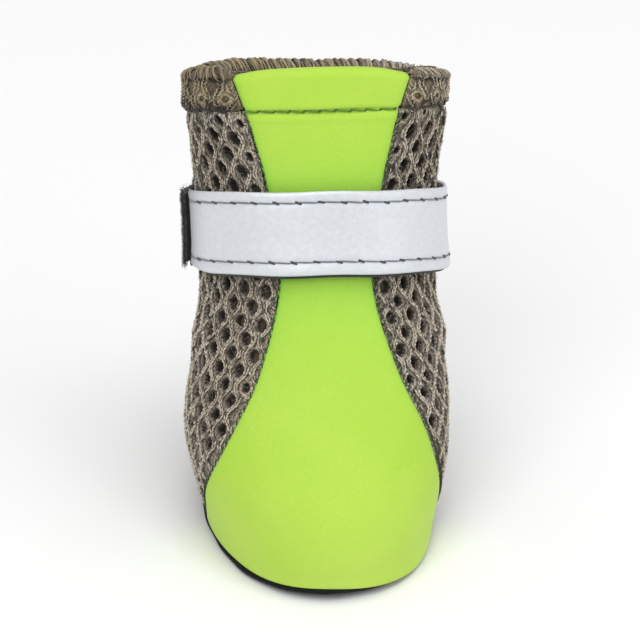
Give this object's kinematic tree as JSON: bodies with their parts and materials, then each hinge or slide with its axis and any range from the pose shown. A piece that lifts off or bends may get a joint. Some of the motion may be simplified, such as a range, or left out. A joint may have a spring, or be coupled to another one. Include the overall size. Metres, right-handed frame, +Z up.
{
  "type": "dog boot",
  "caption": "Small soft dog boot with a spacer-mesh upper, a stretch front panel, a reflective wrap strap and a thin rubber sole.",
  "frame": {"origin": "On the floor under the middle of the forefoot, on the sole's flat underside", "axes": "+Z up along the shaft, -Y towards the toe, +X to the boot's left as its wearer stands"},
  "size_m": [0.0496, 0.0712, 0.0877],
  "materials": {
    "spacer_mesh": "open honeycomb knit, matt",
    "green_stretch_fabric": "smooth fine jersey, matt",
    "sole_rubber": "matt with fine dots",
    "insole_fabric": "matt felt",
    "black_webbing": "woven, matt",
    "silver_tape": "reflective glass-bead coat, satin",
    "loop_pile": "brushed loops",
    "hook_tape": "stiff hooks"
  },
  "bodies": {
    "root": {"upper": "spacer_mesh", "front_panel": "green_stretch_fabric", "sole": "sole_rubber", "insole": "insole_fabric", "strap_backing": "black_webbing", "reflective_tape": "silver_tape", "loop_patch": "loop_pile", "hook_patch": "hook_tape"}
  },
  "joints": []
}
